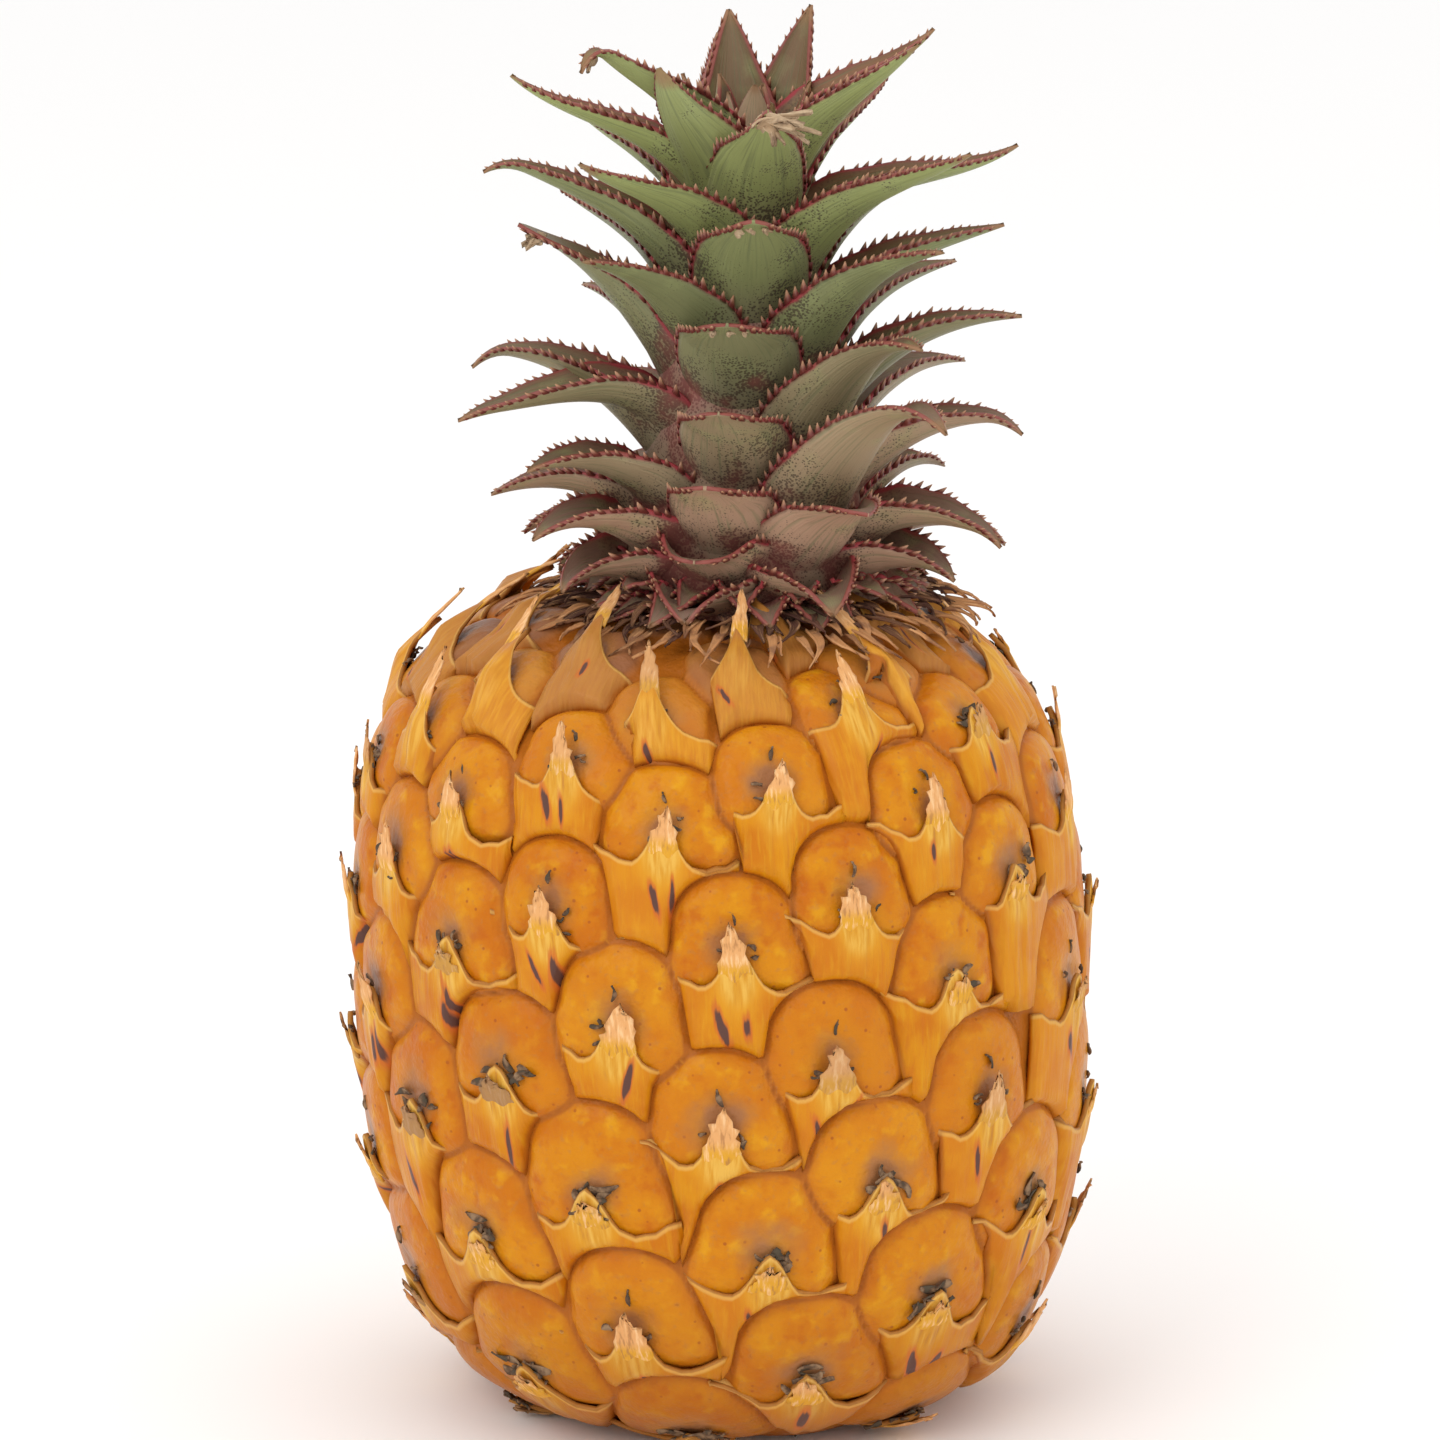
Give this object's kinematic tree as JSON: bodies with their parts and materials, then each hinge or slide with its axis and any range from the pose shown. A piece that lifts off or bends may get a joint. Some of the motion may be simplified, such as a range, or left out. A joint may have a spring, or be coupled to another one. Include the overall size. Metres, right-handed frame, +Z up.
{
  "type": "pineapple",
  "caption": "Whole ripe pineapple with its leafy crown, barrel-shaped fruit with raised eyes and bracts, cut flat at the base so that it stands upright.",
  "frame": {"origin": "middle of the flat spot that the fruit stands on, under the middle of its box", "axes": "+Z up along the fruit's axis towards the crown, -Y towards the front"},
  "size_m": [0.1075, 0.1077, 0.1978],
  "materials": {
    "fruit_skin": null,
    "crown_leaf": null,
    "cut_stalk": "dry fibrous cut of a stalk"
  },
  "bodies": {
    "root": {"fruit": "fruit_skin", "crown": "crown_leaf", "stalk": "cut_stalk"}
  },
  "joints": []
}
